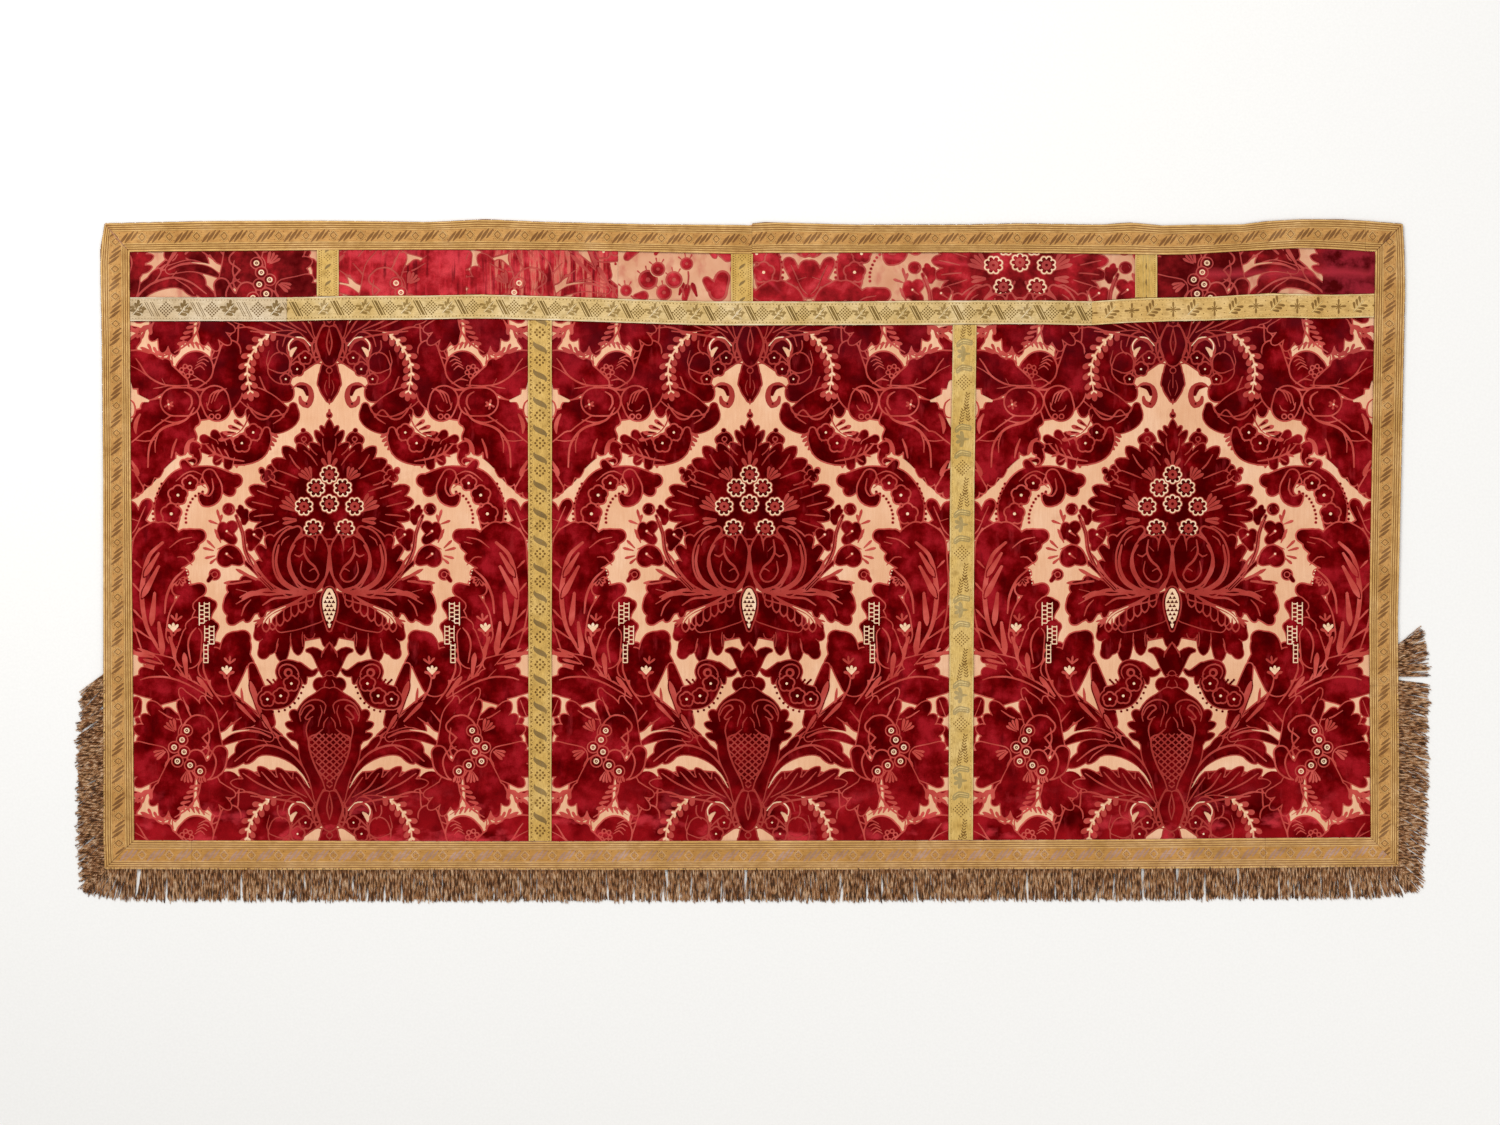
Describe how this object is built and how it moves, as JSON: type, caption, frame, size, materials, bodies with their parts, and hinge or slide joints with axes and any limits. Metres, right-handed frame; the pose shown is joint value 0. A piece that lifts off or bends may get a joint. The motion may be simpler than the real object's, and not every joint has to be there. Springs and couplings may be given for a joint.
{
  "type": "altar cloth",
  "caption": "Rectangular altar frontal of patterned cut velvet with woven galloons over its seams and edges and a cord fringe along the foot.",
  "frame": {"origin": "on the underside of the middle velvet panel, which rests on the surface, on that panel's centre line", "axes": "+X to the right along the cloth's length, +Y up its face towards the top band, +Z out of its face"},
  "size_m": [2.0401, 1.0267, 0.0058],
  "materials": {
    "velvet": "cut pile on a satin ground",
    "band_velvet": "worn cut pile",
    "galloon_yellow": "woven, soft sheen",
    "galloon_green": "woven, soft sheen",
    "galloon_cream": "woven, tarnished",
    "border": "woven metal thread, tarnished",
    "fringe": "twisted metal-thread cords, tarnished"
  },
  "bodies": {
    "root": {"velvet_panel_left": "velvet", "velvet_panel_middle": "velvet", "velvet_panel_right": "velvet", "band_velvet_left": "band_velvet", "band_velvet_second": "band_velvet", "band_velvet_third": "band_velvet", "band_velvet_fourth": "band_velvet", "band_velvet_right": "band_velvet", "band_galloon_left": "galloon_yellow", "band_galloon_middle": "galloon_yellow", "band_galloon_right": "galloon_yellow", "cross_galloon_left": "galloon_cream", "cross_galloon_middle": "galloon_green", "cross_galloon_right": "galloon_yellow", "panel_galloon_left": "galloon_yellow", "panel_galloon_right": "galloon_yellow", "border_top_left": "border", "border_top_right": "border", "border_top_corner": "border", "border_left": "border", "border_right_upper": "border", "border_right_middle": "border", "border_right_lower": "border", "border_bottom_left": "border", "border_bottom_middle": "border", "border_bottom_right": "border", "fringe_bottom": "fringe", "fringe_left": "fringe", "fringe_right": "fringe"}
  },
  "joints": []
}
